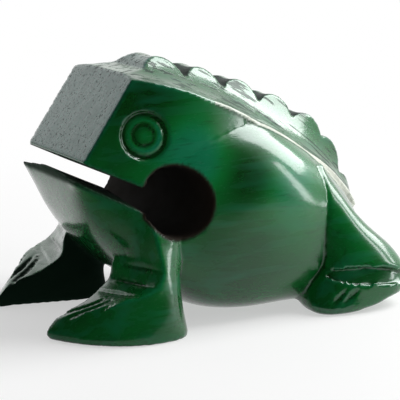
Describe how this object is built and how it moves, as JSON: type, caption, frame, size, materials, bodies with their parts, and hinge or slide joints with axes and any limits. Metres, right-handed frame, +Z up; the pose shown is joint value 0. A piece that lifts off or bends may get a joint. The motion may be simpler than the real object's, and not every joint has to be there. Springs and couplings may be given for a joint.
{
  "type": "frog guiro",
  "caption": "Carved wooden frog scraper with a toothed crest along its back, a slotted mouth and a round resonator bore from side to side.",
  "frame": {"origin": "centre of the bounding box's bottom face, on the surface that the feet stand on", "axes": "-X is the way the frog looks, +Y is the frog's right side, +Z is up"},
  "size_m": [0.1272, 0.0936, 0.084],
  "materials": {
    "green_lacquer": "glossy dark green stain and lacquer over carved wood"
  },
  "bodies": {
    "root": {"frog_body": "green_lacquer"}
  },
  "joints": []
}
